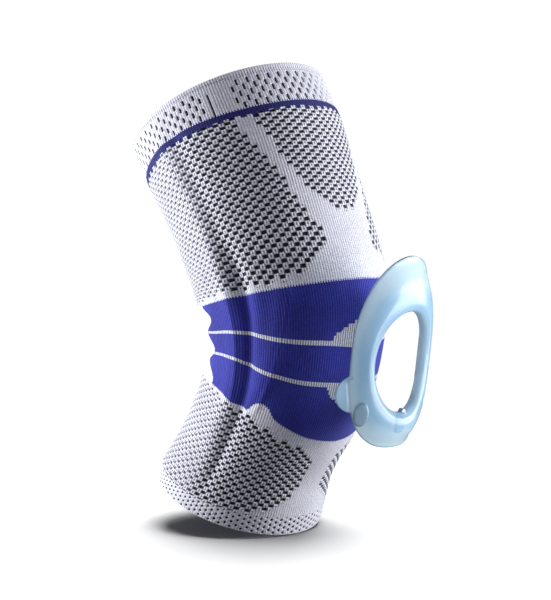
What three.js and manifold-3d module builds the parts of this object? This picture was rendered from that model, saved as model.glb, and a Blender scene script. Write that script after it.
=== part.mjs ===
// A knitted knee sleeve with a silicone kneecap ring lifted out in front of it.
// Millimetres, +Z up. The origin is the middle of the knee, the kneecap faces -Y.
// Two coordinates place everything on the sleeve: "along" runs up the leg from
// the knee, and "turn" runs round it from the front (0 deg) by -X (90 deg) to the back.
import * as THREE from "three";
import { mergeVertices } from "three/addons/utils/BufferGeometryUtils.js";
import Module from "manifold-3d";

const wasm = await Module();
wasm.setup();

// Length of the sleeve along the leg, below and above the middle of the knee
const CALF_LENGTH = 133;
const THIGH_LENGTH = 167;

// The leg is bent: the calf leans forward, the thigh leans back, in degrees
const CALF_LEAN = 30.3;
const THIGH_LEAN = 27.8;
const BEND_LENGTH = 150;

// Widths of the worn sleeve from side to side
const CALF_HEM_WIDTH = 124;
const CALF_WIDTH = 113;
const KNEE_WIDTH = 133;
const THIGH_WIDTH = 143.6;

// Knit
const WALL = 2.4;
const SEAM_GAP = 0.3;
const FOLD_DEPTH = 2;

// Bands, each measured along the leg
const UPPER_CUFF_LENGTH = 30;
const STRIPE_WIDTH = 4.2;
const STRIPE_RISE = 5.5;
const BAND_ABOVE_KNEE = 25;
const BAND_BELOW_KNEE = 54.5;
const LOWER_CUFF_LENGTH = 14.5;
const LOWER_CUFF_TAPER = 7;
const CALF_HEM_SLANT = 6.8;
const CALF_HEM_DROP = 4;

// White panel at the hollow of the knee, from its edge round the back
const PANEL_EDGE_TURN = 113;
const SCALLOP_TURN = 4.5;
const SCALLOP_COUNT = 3;

// Silicone ring, measured flat before it is curved round the kneecap
const PAD_WIDTH = 78;
const PAD_HEIGHT = 128;
const PAD_THICKNESS = 8;
const PAD_FOOT_SQUARENESS = 2.9;
const PAD_CURVE_RADIUS = 45;
const PAD_BOW_RADIUS = 850;
const PAD_LEAN = 7.4;
const PAD_STANDOFF = 35.5;
const PAD_DROP = 9.4;
const HOLE_WIDTH = 47.2;
const HOLE_HEIGHT = 67.8;
const HOLE_DROP = 6;
const LOBE_RADIUS = 12.2;
const LOBE_REACH = 10.5;
const LOBE_DROP = 28;
const BUTTON_DIAMETER = 14;
const BUTTON_HEIGHT = 1.4;
const BUTTON_SPREAD = 28;
const BUTTON_DROP = 39;

const TAB_WIDTH = 6;
const TAB_LENGTH = 10;
const TAB_HEIGHT = 1.2;

// Facets
const COLUMNS_ROUND = 80;
const PAD_COLUMNS = 64;

const calfHemHalf = CALF_HEM_WIDTH / 2;
const calfHalf = CALF_WIDTH / 2;
const kneeHalf = KNEE_WIDTH / 2;
const thighHalf = THIGH_WIDTH / 2;

// Sections from the calf hem to the thigh hem. front, back and side are shares of half
const SECTIONS = [
  { along: -1.00 * CALF_LENGTH, half: calfHemHalf, front: 0.945, back: 1.000, side: 1.000 },
  { along: -0.68 * CALF_LENGTH, half: calfHalf, front: 0.908, back: 1.023, side: 1.000 },
  { along: -0.32 * CALF_LENGTH, half: calfHalf, front: 1.002, back: 1.062, side: 1.039 },
  { along: -0.05 * CALF_LENGTH, half: kneeHalf, front: 0.887, back: 0.997, side: 0.941 },
  { along: 0.10 * THIGH_LENGTH, half: kneeHalf, front: 0.953, back: 1.006, side: 1.000 },
  { along: 0.28 * THIGH_LENGTH, half: kneeHalf, front: 0.950, back: 1.002, side: 1.050 },
  { along: 0.55 * THIGH_LENGTH, half: thighHalf, front: 0.939, back: 0.946, side: 0.976 },
  { along: 0.78 * THIGH_LENGTH, half: thighHalf, front: 0.987, back: 1.021, side: 1.000 },
  { along: 1.00 * THIGH_LENGTH, half: thighHalf, front: 0.965, back: 1.146, side: 1.000 },
];

// Lengthwise folds on both sides. low and high are the fold's ends as shares of the
// calf and thigh lengths, lowTurn and highTurn its place there, height a share of FOLD_DEPTH
const FOLDS = [
  { low: -0.95, lowTurn: 80, high: 0.98, highTurn: 72, halfTurn: 6, height: -1.0 },
  { low: -0.80, lowTurn: 92, high: 0.60, highTurn: 86, halfTurn: 7, height: 0.7 },
  { low: -0.30, lowTurn: 68, high: 0.22, highTurn: 47, halfTurn: 7, height: 0.8 },
];

// Lower edge of the blue band: its depth below the knee as a share of BAND_BELOW_KNEE
const BAND_EDGE = [
  { turn: 0, share: 1.000 },
  { turn: 24, share: 0.965 },
  { turn: 40, share: 0.900 },
  { turn: 52, share: 0.830 },
  { turn: 58, share: 0.730 },
  { turn: 63, share: 0.700 },
  { turn: 68, share: 0.740 },
  { turn: 73, share: 0.850 },
  { turn: 84, share: 0.845 },
  { turn: 95, share: 0.800 },
  { turn: 112, share: 0.810 },
  { turn: 180, share: 0.820 },
];

// Thickness of the silicone ring from the hole (0) to its outer edge (1)
const PAD_PROFILE = [
  { across: 0.00, thickness: 0.35 },
  { across: 0.06, thickness: 0.62 },
  { across: 0.22, thickness: 0.95 },
  { across: 0.45, thickness: 1.00 },
  { across: 0.68, thickness: 0.72 },
  { across: 0.86, thickness: 0.34 },
  { across: 1.00, thickness: 0.20 },
];

const radians = THREE.MathUtils.degToRad;
const clamp = THREE.MathUtils.clamp;
const lerp = THREE.MathUtils.lerp;
const smoothstep = THREE.MathUtils.smoothstep;

// Smooth curve through the rows of a table, with no overshoot between them
function tableCurve(rows, xKey, yOf) {
  const xs = rows.map((row) => row[xKey]);
  const ys = rows.map(yOf);
  const slopes = xs.slice(1).map((x, i) => (ys[i + 1] - ys[i]) / (x - xs[i]));
  const tangents = xs.map((_, i) => {
    const before = slopes[i - 1];
    const after = slopes[i];
    if (before === undefined) return after;
    if (after === undefined) return before;
    return before * after > 0 ? (2 * before * after) / (before + after) : 0;
  });
  return (x) => {
    const next = xs.findIndex((value) => value > x);
    const i = next === -1 ? xs.length - 2 : Math.max(next - 1, 0);
    const span = xs[i + 1] - xs[i];
    const t = clamp((x - xs[i]) / span, 0, 1);
    const rise = t * t * (3 - 2 * t);
    const leave = t * (1 - t) * (1 - t) * span * tangents[i];
    const arrive = t * t * (t - 1) * span * tangents[i + 1];
    return lerp(ys[i], ys[i + 1], rise) + leave + arrive;
  };
}

const frontReach = tableCurve(SECTIONS, "along", (row) => row.half * row.front);
const backReach = tableCurve(SECTIONS, "along", (row) => row.half * row.back);
const sideReach = tableCurve(SECTIONS, "along", (row) => row.half * row.side);
const bandEdgeShare = tableCurve(BAND_EDGE, "turn", (row) => row.share);

// Forward lean of the leg's axis at a place along it, in radians
function leanAt(along) {
  const share = smoothstep(along, -BEND_LENGTH / 2, BEND_LENGTH / 2);
  return lerp(radians(CALF_LEAN), -radians(THIGH_LEAN), share);
}

// Point of the leg's axis: the sum of short steps along its lean, from the knee
function axisAt(along) {
  const steps = 60;
  const step = along / steps;
  let y = 0;
  let z = 0;
  for (let i = 0; i < steps; i += 1) {
    const lean = leanAt((i + 0.5) * step);
    y -= Math.sin(lean) * step;
    z += Math.cos(lean) * step;
  }
  return { y, z };
}

// Turn measured from the front on either side, from 0 to 180 degrees
function turnFromFront(turn) {
  return Math.abs(THREE.MathUtils.euclideanModulo(turn + 180, 360) - 180);
}

// Where a fold runs: its ends are shares of the calf's length below the knee
// and of the thigh's length above it
function alongOfShare(share) {
  return share < 0 ? share * CALF_LENGTH : share * THIGH_LENGTH;
}

// Height of the folds above the plain tube: rounded ridges that fade at their ends
function foldHeight(along, turn) {
  const side = turnFromFront(turn);
  let height = 0;
  for (const fold of FOLDS) {
    const low = alongOfShare(fold.low);
    const high = alongOfShare(fold.high);
    const share = (along - low) / (high - low);
    const fade = smoothstep(share, 0, 0.2) * (1 - smoothstep(share, 0.8, 1));
    const centre = lerp(fold.lowTurn, fold.highTurn, clamp(share, 0, 1));
    const offset = (side - centre) / fold.halfTurn;
    height += FOLD_DEPTH * fold.height * fade * Math.exp(-offset * offset);
  }
  return height;
}

// Point of the knit: an oval section square to the leg's axis, taken in by inset.
// The calf's rows are slanted, up at the shin and down at the back
function knitPoint(along, turn, inset) {
  const angle = radians(turn);
  const lean = leanAt(along);
  const axis = axisAt(along);
  const outset = foldHeight(along, turn) - inset;
  const depth = Math.cos(angle) > 0 ? frontReach(along) : backReach(along);
  const forward = (depth + outset) * Math.cos(angle);
  const aside = (sideReach(along) + outset) * Math.sin(angle);
  const slide = CALF_HEM_SLANT * clamp(-along / CALF_LENGTH, 0, 1) * Math.cos(angle);
  return new THREE.Vector3(
    -aside,
    axis.y - Math.cos(lean) * forward - Math.sin(lean) * slide,
    axis.z - Math.sin(lean) * forward + Math.cos(lean) * slide,
  );
}

// Share of the way from the front (0) to the back (1), as a cosine wave
function backShare(turn) {
  return (1 - Math.cos(radians(turn))) / 2;
}

// The lines that the pieces share, each the place along the leg at a turn
const thighHem = () => THIGH_LENGTH;
const stripeFoot = (turn) =>
  THIGH_LENGTH - UPPER_CUFF_LENGTH - STRIPE_WIDTH + STRIPE_RISE * Math.sin(radians(turn)) ** 4;
const stripeTop = (turn) => stripeFoot(turn) + STRIPE_WIDTH;
const bandTop = () => BAND_ABOVE_KNEE;
const bandFoot = (turn) => -BAND_BELOW_KNEE * bandEdgeShare(turnFromFront(turn));
const calfHem = (turn) => -CALF_LENGTH - CALF_HEM_DROP * backShare(turn);
const cuffTop = (turn) => -CALF_LENGTH + LOWER_CUFF_LENGTH
  - (CALF_HEM_DROP + LOWER_CUFF_TAPER) * backShare(turn);

// Turn of the white panel's edge: scallops along the height of the band
function panelEdge(along) {
  const share = (along + BAND_BELOW_KNEE) / (BAND_ABOVE_KNEE + BAND_BELOW_KNEE);
  return PANEL_EDGE_TURN + SCALLOP_TURN * Math.cos(2 * Math.PI * SCALLOP_COUNT * share);
}

// Turns of the columns that lie between two turns, on the grid that all pieces share
function columnsBetween(fromTurn, toTurn) {
  const columnTurn = 360 / COLUMNS_ROUND;
  const first = Math.ceil(fromTurn / columnTurn);
  const last = Math.floor(toTurn / columnTurn);
  return Array.from({ length: last - first + 1 }, (_, i) => (first + i) * columnTurn);
}

// Columns of a piece that goes all the way round
const wholeRound = columnsBetween(0, 360).slice(0, -1);

// Widest and narrowest turn that the scalloped edge reaches
const edgeLow = PANEL_EDGE_TURN - SCALLOP_TURN - 2;
const edgeHigh = PANEL_EDGE_TURN + SCALLOP_TURN + 2;

// Turn that keeps half a seam's gap clear of the scalloped edge, at a row of the band
function edgeTurn(share, side) {
  const along = lerp(bandFoot(PANEL_EDGE_TURN), bandTop(PANEL_EDGE_TURN), share);
  return panelEdge(along) + side * THREE.MathUtils.radToDeg(SEAM_GAP / kneeHalf);
}

// Columns of the blue band, open at the back, and of the panel that fills the opening
function bandColumns(share) {
  const edge = edgeTurn(share, -1);
  return [-edge, ...columnsBetween(-edgeLow, edgeLow), edge];
}

function panelColumns(share) {
  const edge = edgeTurn(share, 1);
  return [edge, ...columnsBetween(edgeHigh, 360 - edgeHigh), 360 - edge];
}

// A closed wall of knit between two lines. Its outer and inner faces are grids, joined at
// the foot and the top, and on a piece that doesn't go all the way round at its two edges
function knitWall({ foot, top, rows, columnsAt, open }) {
  const positions = [];
  for (const inset of [0, WALL]) {
    for (let row = 0; row <= rows; row += 1) {
      for (const turn of columnsAt(row / rows)) {
        const low = foot(turn) + SEAM_GAP / 2;
        const high = top(turn) - SEAM_GAP / 2;
        positions.push(...knitPoint(lerp(low, high, row / rows), turn, inset).toArray());
      }
    }
  }
  const across = columnsAt(0).length;
  const columns = open ? across - 1 : across;
  const half = (rows + 1) * across;
  const at = (side, row, column) => side * half + row * across + (column % across);
  const index = [];
  const quad = (a, b, c, d) => index.push(a, b, c, a, c, d);
  for (let column = 0; column < columns; column += 1) {
    const next = column + 1;
    for (let row = 0; row < rows; row += 1) {
      quad(at(0, row, column), at(0, row + 1, column), at(0, row + 1, next), at(0, row, next));
      quad(at(1, row, column), at(1, row, next), at(1, row + 1, next), at(1, row + 1, column));
    }
    quad(at(0, 0, column), at(0, 0, next), at(1, 0, next), at(1, 0, column));
    quad(at(0, rows, column), at(1, rows, column), at(1, rows, next), at(0, rows, next));
  }
  for (let row = 0; open && row < rows; row += 1) {
    quad(at(0, row, 0), at(1, row, 0), at(1, row + 1, 0), at(0, row + 1, 0));
    quad(at(0, row, columns), at(0, row + 1, columns), at(1, row + 1, columns), at(1, row, columns));
  }
  const geometry = new THREE.BufferGeometry();
  geometry.setAttribute("position", new THREE.Float32BufferAttribute(positions, 3));
  geometry.setIndex(index);
  geometry.computeVertexNormals();
  return geometry;
}

// Distance from the ring's middle to its outline: an ellipse with a squarer foot,
// or the far side of a round lobe where that reaches further
function padReach(angle) {
  const sine = Math.abs(Math.sin(angle)) / (PAD_WIDTH / 2);
  const cosine = Math.abs(Math.cos(angle)) / (PAD_HEIGHT / 2);
  const power = Math.cos(angle) < 0 ? PAD_FOOT_SQUARENESS : 2;
  const oval = (sine ** power + cosine ** power) ** (-1 / power);
  const lobeX = PAD_WIDTH / 2 * Math.sqrt(1 - (2 * LOBE_DROP / PAD_HEIGHT) ** 2) + LOBE_REACH - LOBE_RADIUS;
  const middle = Math.hypot(lobeX, LOBE_DROP);
  const swing = Math.abs(Math.sin(angle)) * lobeX - Math.cos(angle) * LOBE_DROP;
  const chord = LOBE_RADIUS ** 2 - middle ** 2 + swing ** 2;
  return chord > 0 ? Math.max(oval, swing + Math.sqrt(chord)) : oval;
}

// Point of the silicone ring: across and up on the flat pad, then curved round
// an upright axis, bowed, leaned and set in front of the kneecap
function padPoint(across, up, thickness) {
  const radius = PAD_CURVE_RADIUS + thickness;
  const turn = across / PAD_CURVE_RADIUS;
  const bow = up * up / (2 * PAD_BOW_RADIUS);
  const forward = radius * Math.cos(turn) - PAD_CURVE_RADIUS - bow;
  const lean = radians(PAD_LEAN);
  return new THREE.Vector3(
    radius * Math.sin(turn),
    -(frontReach(0) + PAD_STANDOFF) - forward * Math.cos(lean) - up * Math.sin(lean),
    -PAD_DROP - forward * Math.sin(lean) + up * Math.cos(lean),
  );
}

// The ring as a closed band: its flat rear face, and a front face that follows PAD_PROFILE
function padRingGeometry() {
  const rear = [1, 0.5, 0].map((across) => ({ across, thickness: 0 }));
  const loop = [...PAD_PROFILE, ...rear];
  const positions = [];
  for (let column = 0; column < PAD_COLUMNS; column += 1) {
    const angle = 2 * Math.PI * column / PAD_COLUMNS;
    const outer = padReach(angle);
    const outerX = outer * Math.sin(angle);
    const outerUp = outer * Math.cos(angle);
    const innerX = HOLE_WIDTH / 2 * Math.sin(angle);
    const innerUp = HOLE_HEIGHT / 2 * Math.cos(angle) - HOLE_DROP;
    for (const { across, thickness } of loop) {
      const x = lerp(innerX, outerX, across);
      const up = lerp(innerUp, outerUp, across);
      positions.push(...padPoint(x, up, thickness * PAD_THICKNESS).toArray());
    }
  }
  const count = loop.length;
  const index = [];
  for (let column = 0; column < PAD_COLUMNS; column += 1) {
    const here = column * count;
    const next = ((column + 1) % PAD_COLUMNS) * count;
    for (let i = 0; i < count; i += 1) {
      const j = (i + 1) % count;
      index.push(here + i, next + j, here + j, here + i, next + i, next + j);
    }
  }
  const geometry = new THREE.BufferGeometry();
  geometry.setAttribute("position", new THREE.Float32BufferAttribute(positions, 3));
  geometry.setIndex(index);
  return geometry;
}

// A low round button standing on the front face at a place on the flat pad
function buttonGeometry(across, up) {
  const foot = padPoint(across, up, PAD_THICKNESS / 2);
  const out = padPoint(across, up, PAD_THICKNESS + BUTTON_HEIGHT);
  const direction = out.clone().sub(foot);
  const button = new THREE.CylinderGeometry(
    BUTTON_DIAMETER / 2 - BUTTON_HEIGHT / 2,
    BUTTON_DIAMETER / 2,
    direction.length(),
    24,
  );
  const upright = new THREE.Vector3(0, 1, 0);
  button.applyQuaternion(new THREE.Quaternion().setFromUnitVectors(upright, direction.clone().normalize()));
  const middle = foot.add(out).multiplyScalar(0.5);
  return button.translate(middle.x, middle.y, middle.z);
}

// A narrow rounded tab on the front face, on the middle line just below the hole
function tabGeometry() {
  const up = -(HOLE_HEIGHT / 2 + HOLE_DROP + TAB_LENGTH / 2 + TAB_HEIGHT);
  const foot = padPoint(0, up, PAD_THICKNESS / 2);
  const out = padPoint(0, up, PAD_THICKNESS + TAB_HEIGHT);
  const height = out.distanceTo(foot);
  const tab = new THREE.CapsuleGeometry(TAB_WIDTH / 2, TAB_LENGTH - TAB_WIDTH, 4, 12);
  tab.scale(1, 1, height / (TAB_WIDTH / 2));
  tab.rotateX(-radians(PAD_LEAN));
  return tab.translate(foot.x, foot.y, foot.z);
}

// Solid for joining, made from a closed geometry
function toSolid(geometry) {
  const bare = geometry.clone();
  bare.deleteAttribute("normal");
  bare.deleteAttribute("uv");
  const merged = mergeVertices(bare, 1e-4);
  const mesh = new wasm.Mesh({
    numProp: 3,
    vertProperties: new Float32Array(merged.attributes.position.array),
    triVerts: new Uint32Array(merged.index.array),
  });
  mesh.merge();
  return new wasm.Manifold(mesh);
}

// Geometry of a joined solid
function fromSolid(solid) {
  const mesh = solid.getMesh();
  const geometry = new THREE.BufferGeometry();
  geometry.setAttribute("position", new THREE.BufferAttribute(mesh.vertProperties, 3));
  geometry.setIndex(new THREE.BufferAttribute(mesh.triVerts, 1));
  geometry.computeVertexNormals();
  return geometry;
}

function padGeometry() {
  let pad = toSolid(padRingGeometry());
  for (const side of [-1, 1]) {
    pad = pad.add(toSolid(buttonGeometry(side * BUTTON_SPREAD, -BUTTON_DROP)));
  }
  pad = pad.add(toSolid(tabGeometry()));
  return fromSolid(pad);
}

function knitMaterial(color) {
  return new THREE.MeshStandardMaterial({ color, roughness: 0.9, metalness: 0 });
}

function namedMesh(name, geometry, material) {
  const mesh = new THREE.Mesh(geometry, material);
  mesh.name = name;
  return mesh;
}

// A piece of knit that goes all the way round
function tube(name, foot, top, rows, color) {
  const geometry = knitWall({ foot, top, rows, columnsAt: () => wholeRound, open: false });
  return namedMesh(name, geometry, knitMaterial(color));
}

// A piece of knit as high as the blue band, open on one side
function bandPiece(name, columnsAt, color) {
  const geometry = knitWall({ foot: bandFoot, top: bandTop, rows: 9, columnsAt, open: true });
  return namedMesh(name, geometry, knitMaterial(color));
}

const white = 0xdcdce6;
const blue = 0x2b2d96;
const silicone = new THREE.MeshStandardMaterial({ color: 0xa9d0e8, roughness: 0.25, metalness: 0 });

const sleeve = new THREE.Group();
sleeve.add(
  tube("upper_cuff", stripeTop, thighHem, 3, white),
  tube("upper_stripe", stripeFoot, stripeTop, 1, blue),
  tube("thigh_knit", bandTop, stripeFoot, 7, white),
  bandPiece("knee_band", bandColumns, blue),
  bandPiece("back_panel", panelColumns, white),
  tube("calf_knit", cuffTop, bandFoot, 5, white),
  tube("lower_cuff", calfHem, cuffTop, 1, white),
  namedMesh("patella_pad", padGeometry(), silicone),
);

export default sleeve;
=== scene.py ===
# A knitted knee sleeve with its silicone kneecap ring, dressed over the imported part.
# Sizes are in millimetres as in the part's source, and become metres in new_mesh.
# "along" runs up the leg from the knee, "turn" runs round it from the front (0 degrees)
# by -X (90 degrees) to the back.
import math
from collections import namedtuple

import bpy
import numpy as np
from mathutils import Matrix, Vector


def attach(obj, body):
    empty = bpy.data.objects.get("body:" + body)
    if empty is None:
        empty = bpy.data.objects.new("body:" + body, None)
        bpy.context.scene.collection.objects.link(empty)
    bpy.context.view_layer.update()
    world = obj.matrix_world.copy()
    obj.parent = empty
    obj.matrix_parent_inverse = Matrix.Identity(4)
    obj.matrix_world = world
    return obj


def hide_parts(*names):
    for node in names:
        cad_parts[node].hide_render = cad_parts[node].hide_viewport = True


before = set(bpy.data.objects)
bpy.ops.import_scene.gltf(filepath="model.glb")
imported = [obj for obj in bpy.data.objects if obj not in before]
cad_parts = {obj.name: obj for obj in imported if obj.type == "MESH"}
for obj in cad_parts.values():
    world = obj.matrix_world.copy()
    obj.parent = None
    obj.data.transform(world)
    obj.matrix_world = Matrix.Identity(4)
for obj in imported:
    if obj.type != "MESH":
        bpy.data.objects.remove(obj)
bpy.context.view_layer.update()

# Length of the sleeve along the leg, and the bend of the leg in degrees
CALF_LENGTH = 133
THIGH_LENGTH = 167
CALF_LEAN = 30.3
THIGH_LEAN = 27.8
BEND_LENGTH = 150

# Half widths of the worn sleeve
CALF_HEM_HALF = 62
CALF_HALF = 56.5
KNEE_HALF = 66.5
THIGH_HALF = 71.8

# Wall, folds and bands
WALL = 2.4
SEAM = 0.06
FOLD_DEPTH = 2
UPPER_CUFF_LENGTH = 30
STRIPE_WIDTH = 4.2
STRIPE_RISE = 5.5
BAND_ABOVE_KNEE = 25
BAND_BELOW_KNEE = 54.5
LOWER_CUFF_LENGTH = 14.5
LOWER_CUFF_TAPER = 7
CALF_HEM_SLANT = 6.8
CALF_HEM_DROP = 4
PANEL_EDGE_TURN = 113
SCALLOP_TURN = 4.5
SCALLOP_COUNT = 3

# Knit: mesh columns round the sleeve, ribs in a stitch column, the ribs' height, the
# rounding of the hems and how deep the openings are
MESH_COLUMNS = 672
RIBS = 2
RIB_HEIGHT = 0.07
HEM_ROUNDING = 1.0
OPENING_DEPTH = 0.9

# Patterns of openings: stitch columns round the leg, height of a repeat in mm, how many
# repeats higher each next column starts, half the opening in columns and in repeats, how
# far the blocks of stitches between the openings rise in mm, and how dark the painted shade in the ribs'
# valleys is
Knit = namedtuple("Knit", "columns repeat skew half_column half_repeat block valley")
THIGH_REPEATS = 20
THIGH_KNIT = Knit(112, 5.6, 0.09, 0.47, 0.19, 0.2, 0.34)
CALF_KNIT = Knit(96, 5.6, 0.0, 0.45, 0.19, 0.2, 0.20)
CUFF_KNIT = Knit(112, 9.0, 0.0, 0.27, 0.235, 0.0, 0.42)
DOT_KNIT = Knit(96, 4.1, 0.0, 0.23, 0.22, 0.0, 0.12)
PLAIN_KNIT = Knit(112, 3.6, 0.0, 0.0, 0.0, 0.0, 0.34)
COURSE_HEIGHT = 0.9

# From the first turn to the second the knit goes slack: its openings keep these shares of
# their width, height and depth, and their painted shade is made paler as painted light. The
# thigh's last repeats under the stripe hold blue yarn
SLACK_TURNS = (78, 98)
SLACK_WIDTH = 0.68
SLACK_HEIGHT = 0.9
SLACK_DEPTH = 0.4
BLUE_REPEATS = 0.32

# Places in the cuffs, in repeats or in turn
CUFF_ROW_START = 0.34
PIN_ROWS = (2.38, 2.58)
SEAM_SLOT_TURN = 57.6
SEAM_SLOT_TOP = 1.77
SEAM_PATCH_TURN = 43.5

# Groove under the upper cuff's welt: its depth, and how far below the hem it starts, is
# full, is full no more and ends
WELT_DEPTH = 0.35
WELT_PLACES = (3.2, 3.9, 4.3, 5.6)

# Mesh rows of the pieces, and how many outer rows share one inner row
ROWS_A_REPEAT = 6
CALF_ROWS = 104
BAND_ROWS = 108
PANEL_ROWS = 96
STRIPE_ROWS = 6
INNER_STRIDE = 8
CUFF_STRIDE = 6

# A tube of openwork: its knit, its edges, its rows, how many repeats fill its height (0 to
# keep the knit's own height), the part of one that comes before the first, and its field
Tube = namedtuple("Tube", "knit foot top levels count start inside")

# Silicone ring, measured flat before it is curved round the kneecap, with its hole, lobes,
# buttons, tab and bead, and the steps of their meshes
PAD_WIDTH = 78
PAD_HEIGHT = 128
PAD_THICKNESS = 8
PAD_FOOT_SQUARENESS = 2.9
PAD_CURVE_RADIUS = 45
PAD_BOW_RADIUS = 850
PAD_LEAN = 7.4
PAD_STANDOFF = 35.5
PAD_DROP = 9.4
HOLE_WIDTH = 47.2
HOLE_HEIGHT = 67.8
HOLE_DROP = 6
HOLE_FOOT = -(HOLE_HEIGHT / 2 + HOLE_DROP)
LOBE_RADIUS = 12.2
LOBE_REACH = 12
LOBE_DROP = 28
LOBE_THICKNESS = 2.3
LOBE_TURN = 25
BUTTON_WIDTH = 8
BUTTON_LENGTH = 17
BUTTON_HEIGHT = 1.1
BUTTON_SPREAD = 29
BUTTON_DROP = 40.5
TAB_ASIDE = -3.5
TAB_WIDTH = 7
TAB_LENGTH = 12
TAB_GAP = 0.5
TAB_HEIGHT = 0.3
BEAD_RADIUS = 1.7
BEAD_ASIDE = 2.5
BEAD_RAISE = 0.6
BOSS_SINK = 2.5
RING_STEPS = 288
FRONT_STEPS = 44
REAR_STEPS = 12
BOSS_STEPS = 64

# Sections from the calf hem to the thigh hem: along, half width, then the reach to the
# front, back and side as shares of it
SECTIONS = np.array([
    (-1.00 * CALF_LENGTH, CALF_HEM_HALF, 0.945, 1.000, 1.000),
    (-0.68 * CALF_LENGTH, CALF_HALF, 0.908, 1.023, 1.000),
    (-0.32 * CALF_LENGTH, CALF_HALF, 1.002, 1.062, 1.039),
    (-0.05 * CALF_LENGTH, KNEE_HALF, 0.887, 0.997, 0.941),
    (0.10 * THIGH_LENGTH, KNEE_HALF, 0.953, 1.006, 1.000),
    (0.28 * THIGH_LENGTH, KNEE_HALF, 0.950, 1.002, 1.050),
    (0.55 * THIGH_LENGTH, THIGH_HALF, 0.939, 0.946, 0.976),
    (0.78 * THIGH_LENGTH, THIGH_HALF, 0.987, 1.021, 1.000),
    (1.00 * THIGH_LENGTH, THIGH_HALF, 0.965, 1.146, 1.000),
])

# Lengthwise folds: low end, its turn, high end, its turn, half width in turn, and height as
# a share of FOLD_DEPTH. An end is a share of the calf's length below the knee, or the thigh's
FOLDS = [
    (-0.95, 79, 0.42, 76, 6, -1.0),
    (-0.97, 79, 0.42, 76, 3.2, -0.65),
    (0.00, 76.5, 0.99, 88, 5, -0.8),
    (0.05, 87, 0.99, 98, 6, 0.5),
    (-0.80, 92, 0.60, 86, 7, 0.7),
    (-0.30, 68, 0.22, 47, 7, 0.8),
    (-0.42, 86, 0.20, 88, 1.8, 0.28),
    (-0.42, 69, 0.22, 45, 1.8, 0.28),
]

# Lower edge of the blue band: turn, depth below the knee as a share of BAND_BELOW_KNEE
BAND_EDGE = np.array([
    (0, 1.000), (24, 0.965), (40, 0.900), (52, 0.830), (58, 0.730), (63, 0.700),
    (68, 0.740), (73, 0.850), (84, 0.845), (95, 0.800), (112, 0.810), (180, 0.820),
])

# Edges of the openwork fields: along, turn of the edge. Then their margins at the blue band
SIDE_FIELD = np.array([
    (27, 47), (32, 38), (36, 31), (43, 18), (53, 22), (69, 29), (86, 34), (103, 40), (120, 46), (136, 50),
])
FRONT_FIELD = np.array([
    (57, 0), (60, 7), (64, 13), (70, 19), (86, 26), (103, 31), (120, 36), (136, 41),
])
CALF_FIELD = np.array([
    (-122, 52), (-114, 32), (-108, 24), (-100, 14), (-80, 10), (-70, 10),
    (-63, 17), (-60, 28), (-56, 45), (-53, 56), (-49, 66), (-46, 74), (-43, 80),
])
THIGH_MARGIN = 3.4
CALF_MARGIN = 2.5

# White lines across the blue band, and the white patches at the kneecap: turn, along.
# Then half the width of a line, the length of the white wales at the band's edges, the
# step of the patches, and a distance past all marks
UPPER_LINE = np.array([
    (0, -3.6), (26, -2.0), (45, -1.5), (62, 0.0), (78, 2.0), (88, 2.5), (113, -0.5), (125, -2.0),
])
LOWER_LINE = np.array([
    (0, -21.5), (37, -21.5), (48, -21.0), (61, -19.5), (70, -18.5), (80, -17.0), (88, -15.2),
    (97, -15.6), (118, -19.5), (125, -20.5),
])
UPPER_PATCH = np.array([(0, 8.0), (8, 6.6), (16, 4.0), (21, 1.2), (25, -2.2), (40, -9)])
LOWER_PATCH = np.array([(0, -34), (8, -32.5), (14, -30), (19, -27), (23, -22), (40, -10)])
LINE_HALF_WIDTH = 1.1
TOOTH_LENGTH = 0.7
PATCH_STEP = 1.2
FAR = 10.0

# Thickness of the silicone ring from the hole (0) to its outer edge (1), as a share
PAD_PROFILE = np.array([
    (0.00, 0.40), (0.05, 0.66), (0.16, 0.90), (0.34, 1.00),
    (0.55, 0.86), (0.75, 0.56), (0.90, 0.32), (1.00, 0.22),
])

# Camera: its direction from the object in degrees, its place in metres, its lens in mm.
# Then the point that the lights face
CAMERA_AZIMUTH = -46.42
CAMERA_ELEVATION = 3.96
CAMERA_ASIDE = -0.01495
CAMERA_UP = 0.02056
CAMERA_DISTANCE = 1.1558
CAMERA_LENS = 99.69
LIGHT_AIM = Vector((0, 0.01, 0.02))

# Floor, and the unseen card that keeps the top box off it: radius and middle in mm
FLOOR_RADIUS = 950
FLOOR_MIDDLE = (0, 0, -143.7)
SHADE_RADIUS = 54
SHADE_MIDDLE = (0, 42, -88)

# Colours: red, green, blue, opacity
WHITE_YARN = (0.85, 0.86, 0.98, 1)
# Painted shade: the dark of the sleeve's shaded inside, painted into openings that are only sunk pits
HOLE_SHADE = (0.018, 0.018, 0.036, 1)
# Painted light: the openings' painted shade made paler, as side light washing them
SIDE_LIT_HOLE_SHADE = (0.045, 0.048, 0.075, 1)
BLUE_YARN = (0.025, 0.027, 0.30, 1)
# Painted highlight on the blue ribs' crests
BLUE_CREST_HIGHLIGHT = (0.042, 0.068, 0.43, 1)
THIN_SILICONE = (0.68, 0.87, 0.98, 1)
THICK_SILICONE = (0.37, 0.61, 0.82, 1)
# Painted shade along the silicone's edges
PAINTED_EDGE_SHADE = (0.12, 0.24, 0.33, 1)
FLOOR_SEEN = (0.35, 0.35, 0.35, 1)
FLOOR_BOUNCE = (0.05, 0.05, 0.05, 1)
WHITE = (1, 1, 1, 1)
SURROUND = (0.90, 0.91, 1.0, 1)
SURROUND_POWER = 0.27


def smooth(x, low, high):
    """0 below low and 1 above high, with the cubic 3t^2 - 2t^3 between them."""
    t = np.clip((x - low) / (high - low), 0, 1)
    return t * t * (3 - 2 * t)


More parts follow.
